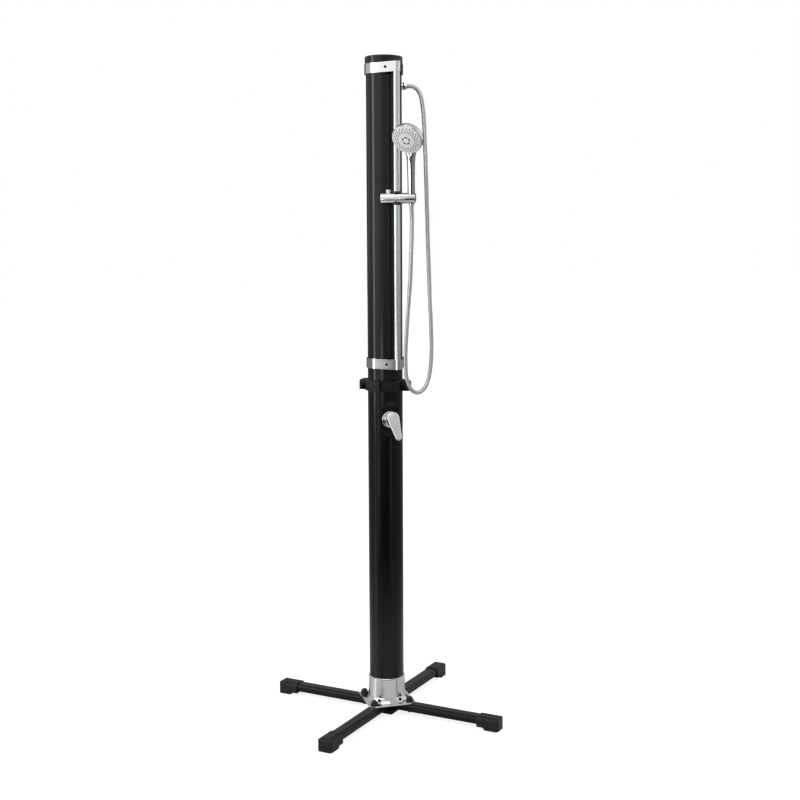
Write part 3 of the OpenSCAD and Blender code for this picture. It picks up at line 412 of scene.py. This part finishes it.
def smooth_route(points):
    """The route as one smooth line in metres, with the index in the route of each point."""
    line = []
    for i in range(len(points) - 1):
        p0, p1 = points[max(i - 1, 0)], points[i]
        p2, p3 = points[i + 1], points[min(i + 2, len(points) - 1)]
        for k in range(STEPS):
            t = k / STEPS
            line.append((i + t, Vector([
                0.5 * (2 * b + (c - a) * t + (2 * a - 5 * b + 4 * c - d) * t * t
                       + (3 * b - a - 3 * c + d) * t ** 3) * MM
                for a, b, c, d in zip(p0, p1, p2, p3)])))
    line.append((len(points) - 1, Vector(points[-1]) * MM))
    return line


def hose_tree():
    """Turns a curve into interlocked hose: a tube whose radius steps once in each turn."""
    tree = bpy.data.node_groups.new("interlocked_hose", "GeometryNodeTree")
    face = tree.interface
    face.new_socket("Geometry", in_out="INPUT", socket_type="NodeSocketGeometry")
    for name in ("Radius", "Pitch", "Depth", "Start"):
        face.new_socket(name, in_out="INPUT", socket_type="NodeSocketFloat")
    face.new_socket("Material", in_out="INPUT", socket_type="NodeSocketMaterial")
    face.new_socket("Geometry", in_out="OUTPUT", socket_type="NodeSocketGeometry")
    given = add(tree, "NodeGroupInput").outputs
    step = maths(tree, "DIVIDE", given["Pitch"], 5.0)
    even = add(tree, "GeometryNodeResampleCurve", {"Curve": given["Geometry"], "Length": step},
               mode="LENGTH").outputs[0]
    along = add(tree, "GeometryNodeSplineParameter").outputs["Length"]
    # Half a sine over each turn; just under pi, so that it never falls below 0
    turns = maths(tree, "DIVIDE", maths(tree, "ADD", along, given["Start"]), given["Pitch"])
    part = maths(tree, "MULTIPLY", maths(tree, "FRACT", turns), 3.14159)
    crown = maths(tree, "POWER", maths(tree, "SINE", part), 0.6)
    kept = add(tree, "GeometryNodeCaptureAttribute", {"Geometry": even})
    kept.capture_items.new("FLOAT", "crown")
    tree.links.new(crown, kept.inputs["crown"])
    ring = add(tree, "GeometryNodeCurvePrimitiveCircle",
               {"Resolution": 16, "Radius": given["Radius"]}).outputs[0]
    tube = add(tree, "GeometryNodeCurveToMesh",
               {"Curve": kept.outputs["Geometry"], "Profile Curve": ring,
                "Fill Caps": True}).outputs[0]
    sunk = maths(tree, "MULTIPLY", maths(tree, "SUBTRACT", kept.outputs["crown"], 1.0),
                 given["Depth"])
    out = add(tree, "GeometryNodeInputNormal").outputs[0]
    shift = vectors(tree, "SCALE", {0: out, "Scale": sunk})
    ribbed = add(tree, "GeometryNodeSetPosition", {"Geometry": tube, "Offset": shift}).outputs[0]
    named = add(tree, "GeometryNodeStoreNamedAttribute",
                {"Geometry": ribbed, "Name": "crown", "Value": kept.outputs["crown"]},
                data_type="FLOAT", domain="POINT").outputs[0]
    soft = add(tree, "GeometryNodeSetShadeSmooth", {"Geometry": named}).outputs[0]
    real = add(tree, "GeometryNodeRealizeInstances", {"Geometry": soft}).outputs[0]
    done = add(tree, "GeometryNodeSetMaterial", {"Geometry": real,
                                                 "Material": given["Material"]}).outputs[0]
    add(tree, "NodeGroupOutput", {0: done})
    return tree


def set_inputs(modifier, values):
    for item in modifier.node_group.interface.items_tree:
        if item.item_type == "SOCKET" and item.in_out == "INPUT" and item.name in values:
            modifier[item.identifier] = values[item.name]


def curve_object(points):
    data = bpy.data.curves.new("route", "CURVE")
    data.dimensions = "3D"
    spline = data.splines.new("POLY")
    spline.points.add(len(points) - 1)
    for point, place in zip(spline.points, points):
        point.co = (*place, 1)
    return link("route", data)


hose_nodes = hose_tree()
hose_line = smooth_route(HOSE_ROUTE)


def rising(line, z):
    """Index of the point at which the rising side of the loop passes a height."""
    return next(i for i, (at, p) in enumerate(line) if at > LOOP_BOTTOM and p.z >= z)


# The loop rides with a share of the slider's travel, and the strands to each side of it stretch
# or shorten, so each piece says how much of the travel its two ends take, and at what heights.
LOOP_SHARE = 0.72
FALL_BENDS_BELOW, LOOP_JOINS, LOOP_HEIGHT = 2.0, 1.235, 1.15
LOOP_REACH = 200.0
RISE_CUTS = [(1.175, LOOP_SHARE), (1.256, 0.825), (1.340, 0.925), (1.436, 1.0)]
RISE_NAMES = ["hose_rising_low", "hose_rising_middle", "hose_rising_high"]


def travel_at(share):
    """How far along a bend a point lies that takes this share of the motion."""
    return 0.5 - math.sin(math.asin(1 - 2 * share) / 3)


def strand_bend(low, low_share, high, high_share):
    """Start and end heights of the bend whose shares at two heights are the given ones."""
    reach = (high - low) / (travel_at(high_share) - travel_at(low_share))
    start = low - travel_at(low_share) * reach
    return start, start + reach


def level_bend(share):
    """Ends of a bend so long that the whole loop takes one share."""
    start = LOOP_HEIGHT + travel_at(share) * LOOP_REACH
    return start, start - LOOP_REACH


BENDS = [
    ("hose_falling", "stand", "slider_bush",
     *strand_bend(FALL_BENDS_BELOW, 0.0, LOOP_JOINS, LOOP_SHARE)),
    ("hose_loop", "stand", "slider_bush", *level_bend(LOOP_SHARE)),
    *((name, "stand", "slider_bush", *strand_bend(*low, *high))
      for name, low, high in zip(RISE_NAMES, RISE_CUTS, RISE_CUTS[1:])),
    ("hose_at_bush", "slider_bush", "slider_barrel", 1.440, 1.520),
    ("hose_at_barrel", "slider_barrel", "handset_holder", 1.527, 1.607),
    ("hose_at_handset", "handset_holder", "hose_cone_nut", 1.614, 1.690),
]
cuts = [0, next(i for i, (at, p) in enumerate(hose_line) if at >= LOOP_STARTS)]
cuts += [rising(hose_line, z) for z in [z for z, share in RISE_CUTS] + [1.523, 1.610]]
cuts += [len(hose_line) - 1]


def make_hose():
    start = 0.0
    for k, (name, body_a, body_b, z_a, z_b) in enumerate(BENDS):
        points = [p for at, p in hose_line[cuts[k]:cuts[k + 1] + 1]]
        length = sum((b - a).length for a, b in zip(points, points[1:]))
        made = curve_object(points)
        modifier = made.modifiers.new("hose", "NODES")
        modifier.node_group = hose_nodes
        set_inputs(modifier, {"Radius": HOSE_D / 2 * MM, "Pitch": HOSE_PITCH * MM,
                              "Depth": HOSE_SEAM_DEPTH * MM, "Start": start,
                              "Material": hose_steel})
        piece = plain_mesh(made, name)
        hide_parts("shower_hose")
        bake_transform(piece)
        start += length


make_hose()


# The handset: one moulded body whose neck runs smoothly into the back of its head

# Head, as (radius, height over the spray face's seat): rim, domed back, seat of the face
HEAD_PROFILE = [(0.5, -6.4), (47.1, -6.4), (47.1, -0.2), (47.5, 0), (48.2, 0), (49.2, -0.8),
                (49.7, -3), (49.9, -8), (49.8, -14), (49.0, -19), (46.8, -22.8), (43, -25.2),
                (36, -26.8), (20, -27.8), (0.5, -28)]
# Handle, as (height, radius): waisted above the holder, a little fuller in the hand
HANDLE_PROFILE = [(17.6, 11.4), (18.4, 12.2), (30, 12.0), (60, 12.0), (85, 12.5), (105, 13.0),
                  (122, 13.2), (136, 13.0)]
# Neck, as (height, offset to the rear, half width, half depth): flattens into the dome
NECK_SECTIONS = [(108, 0.0, 13.0, 13.0), (122, 0.2, 13.6, 13.2), (134, 0.2, 15.2, 12.4),
                 (145, -0.6, 18.5, 10.8), (156, -2.6, 22.5, 9.4), (168, -5.6, 25, 8.8),
                 (182, -10.4, 25.5, 8.4), (196, -15.6, 22, 7.4), (208, -21.0, 16, 5.0)]
NECK_TILT = 4
SHELL_VOXEL, SHELL_RELAX, SHELL_PASSES = 0.9, 0.5, 14


def solid_of_rings(rings):
    """Vertices and faces of a closed shell through rings with the same number of points."""
    count = len(rings[0])
    points = [p for ring in rings for p in ring]
    faces = [(j * count + i, j * count + (i + 1) % count,
              (j + 1) * count + (i + 1) % count, (j + 1) * count + i)
             for j in range(len(rings) - 1) for i in range(count)]
    faces.append(tuple(range(count))[::-1])
    faces.append(tuple((len(rings) - 1) * count + i for i in range(count)))
    return points, faces


def circle_ring(place, rx, ry, count=48):
    return [place @ Vector((rx * math.cos(a), ry * math.sin(a), 0))
            for a in (2 * math.pi * i / count for i in range(count))]


def joined(name, parts):
    """Several shells, given in millimetres, as one mesh object in metres."""
    points, faces = [], []
    for part_points, part_faces in parts:
        faces += [tuple(i + len(points) for i in face) for face in part_faces]
        points += [Vector(p) * MM for p in part_points]
    mesh = bpy.data.meshes.new(name)
    mesh.from_pydata(points, [], faces)
    return link(name, mesh)


def make_handset():
    head = [circle_ring(FACE @ Matrix.Translation((0, 0, z)), r, r, 96) for r, z in HEAD_PROFILE]
    handle = [circle_ring(HANDSET @ Matrix.Translation((0, 0, z)), r, r)
              for z, r in HANDLE_PROFILE]
    neck = [circle_ring(HANDSET @ Matrix.Translation((0, y, z)) @ turned("X", NECK_TILT), rx, ry)
            for z, y, rx, ry in NECK_SECTIONS]
    made = joined("handset_shell", [solid_of_rings(rings) for rings in (head, handle, neck)])
    remesh = made.modifiers.new("union", "REMESH")
    remesh.mode = "VOXEL"
    remesh.voxel_size = SHELL_VOXEL * MM
    remesh.use_smooth_shade = True
    relax = made.modifiers.new("blend", "SMOOTH")
    relax.factor = SHELL_RELAX
    relax.iterations = SHELL_PASSES
    piece = plain_mesh(made, "handset_shell")
    set_material(piece, chromed_abs)
    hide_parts("handset_body")
    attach(piece, "handset")


make_handset()


def make_spring():
    """The button's spring, as a still copy of the CAD spring."""
    piece = link("pressed_spring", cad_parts["button_spring"].data.copy())
    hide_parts("button_spring")
    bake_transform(piece)


make_spring()


# Stage

FLOOR_HALF = 30.0
FLOOR_LIFT = 0.8


def heading(azimuth):
    """Unit vector along the floor, at an azimuth from the camera's side to the viewer's right."""
    angle = VIEW_TURN + math.radians(azimuth)
    return Vector((math.sin(angle), -math.cos(angle), 0.0))


def ramp(tree, value, low, high, under=0.0, over=1.0, kind="LINEAR"):
    return add(tree, "ShaderNodeMapRange", {0: value, 1: low, 2: high, 3: under, 4: over},
               interpolation_type=kind).outputs[0]


def facing(tree, ray, azimuth):
    """Cosine of the angle between a ray and a heading."""
    return vectors(tree, "DOT_PRODUCT", {0: ray, 1: heading(azimuth)}, "Value")


def make_stage():
    """White paper: plain white to the camera, grey further out in what the chrome reflects, and a
    painted glowing streak.
    """
    half = FLOOR_HALF
    mesh = bpy.data.meshes.new("floor")
    mesh.from_pydata([(-half, -half, 0), (half, -half, 0), (half, half, 0), (-half, half, 0)], [],
                     [(0, 1, 2, 3)])
    floor = link("floor", mesh)
    made = bpy.data.materials.new("floor_white")
    made.use_nodes = True
    tree = made.node_tree
    shader = tree.nodes["Principled BSDF"]
    shader.inputs["Roughness"].default_value = 0.9
    shader.inputs["Specular IOR Level"].default_value = 0.0
    shader.inputs["Emission Color"].default_value = (1, 1, 1, 1)
    camera_ray = add(tree, "ShaderNodeLightPath").outputs["Is Camera Ray"]
    place = add(tree, "ShaderNodeTexCoord").outputs["Object"]
    away = vectors(tree, "LENGTH", {0: place}, "Value")
    ray = vectors(tree, "NORMALIZE", {0: place})
    # A dark patch in front, which gives the chrome its dark lower half
    front = ramp(tree, facing(tree, ray, -15), 0.68, 0.86)
    near, far = ramp(tree, away, 1.2, 1.9), ramp(tree, away, 6.0, 9.0, 1.0, 0.0)
    shade = maths(tree, "MULTIPLY", maths(tree, "MULTIPLY", near, far), front)
    paper = ramp(tree, away, 0.8, 1.8, 0.8, 0.36)
    paper = add(tree, "ShaderNodeMix", {0: shade, 2: paper, 3: 0.05}).outputs[0]
    tone = add(tree, "ShaderNodeMix", {0: camera_ray, 2: paper, 3: 0.5}).outputs[0]
    tree.links.new(tone, shader.inputs["Base Color"])
    # A painted glowing streak on the floor, standing in for the tall lamp's light, which lengthens
    # the bright line on the columns
    painted_floor_streak_glow = ramp(tree, facing(tree, ray, -74), 0.985, 0.997, 0.0, 0.5)
    lift = add(tree, "ShaderNodeMix", {0: camera_ray, 2: painted_floor_streak_glow, 3: FLOOR_LIFT}).outputs[0]
    tree.links.new(lift, shader.inputs["Emission Strength"])
    floor.data.materials.append(made)


def lamp(name, azimuth, height, distance, size, power, tilt_to=1.1, spread=180):
    """A soft panel at a heading, turned to a height on the column's axis."""
    data = bpy.data.lights.new(name, "AREA")
    data.shape = "RECTANGLE"
    data.size, data.size_y = size
    data.energy = power
    data.spread = math.radians(spread)
    made = link(name, data)
    place = heading(azimuth) * distance + Vector((0, 0, height))
    aim = (Vector((0, 0, tilt_to)) - place).to_track_quat("-Z", "Y")
    made.matrix_world = Matrix.Translation(place) @ aim.to_matrix().to_4x4()


def make_light():
    """A tall window to the left, two weaker panels in front, a small fill and one overhead."""
    lamp("strip_left", -74, 1.9, 2.4, (0.4, 2.6), 17)
    lamp("panel_left", -48, 0.9, 2.8, (1.0, 1.8), 3.5, 1.7)
    lamp("patch_front", -22, 0.95, 2.5, (0.7, 0.22), 1.8)
    lamp("fill_face", -38, 0.45, 2.4, (0.5, 0.5), 0.25, 1.95, 28)
    lamp("panel_top", -10, 4.2, 1.6, (2.5, 2.0), 26)


def make_walls():
    """A white studio as the object reflects it; the camera itself sees plain white."""
    world = bpy.data.worlds.new("studio")
    bpy.context.scene.world = world
    world.use_nodes = True
    tree = world.node_tree
    background = tree.nodes["Background"]
    background.inputs["Color"].default_value = (1, 1, 1, 1)
    camera_ray = add(tree, "ShaderNodeLightPath").outputs["Is Camera Ray"]
    toward = add(tree, "ShaderNodeTexCoord").outputs["Generated"]
    height = add(tree, "ShaderNodeSeparateXYZ", {0: toward}).outputs["Z"]

    def wall(azimuth, low, high, level):
        return ramp(tree, facing(tree, toward, azimuth), low, high, 0.0, level, "SMOOTHSTEP")

    # Brighter wall to the left, above the floor's edge
    left = maths(tree, "MULTIPLY", wall(-50, 0.74, 0.9, 0.62),
                 ramp(tree, height, -0.06, 0.08, 0.1, 1.0))
    # Plain walls, and a little more light from the right
    total = maths(tree, "ADD", maths(tree, "ADD", left, wall(95, 0.6, 0.85, 0.3)), 0.6)
    # Dark wall behind, up to eye height
    dark = maths(tree, "MULTIPLY", wall(180, 0.6, 0.85, 0.95),
                 ramp(tree, height, 0.12, 0.27, 1.0, 0.0))
    total = maths(tree, "MULTIPLY", total, maths(tree, "SUBTRACT", 1.0, dark))
    seen = add(tree, "ShaderNodeMix", {0: camera_ray, 2: total, 3: 1.0}).outputs[0]
    tree.links.new(seen, background.inputs["Strength"])


make_stage()
make_light()
make_walls()
bpy.context.scene.view_settings.view_transform = "Standard"
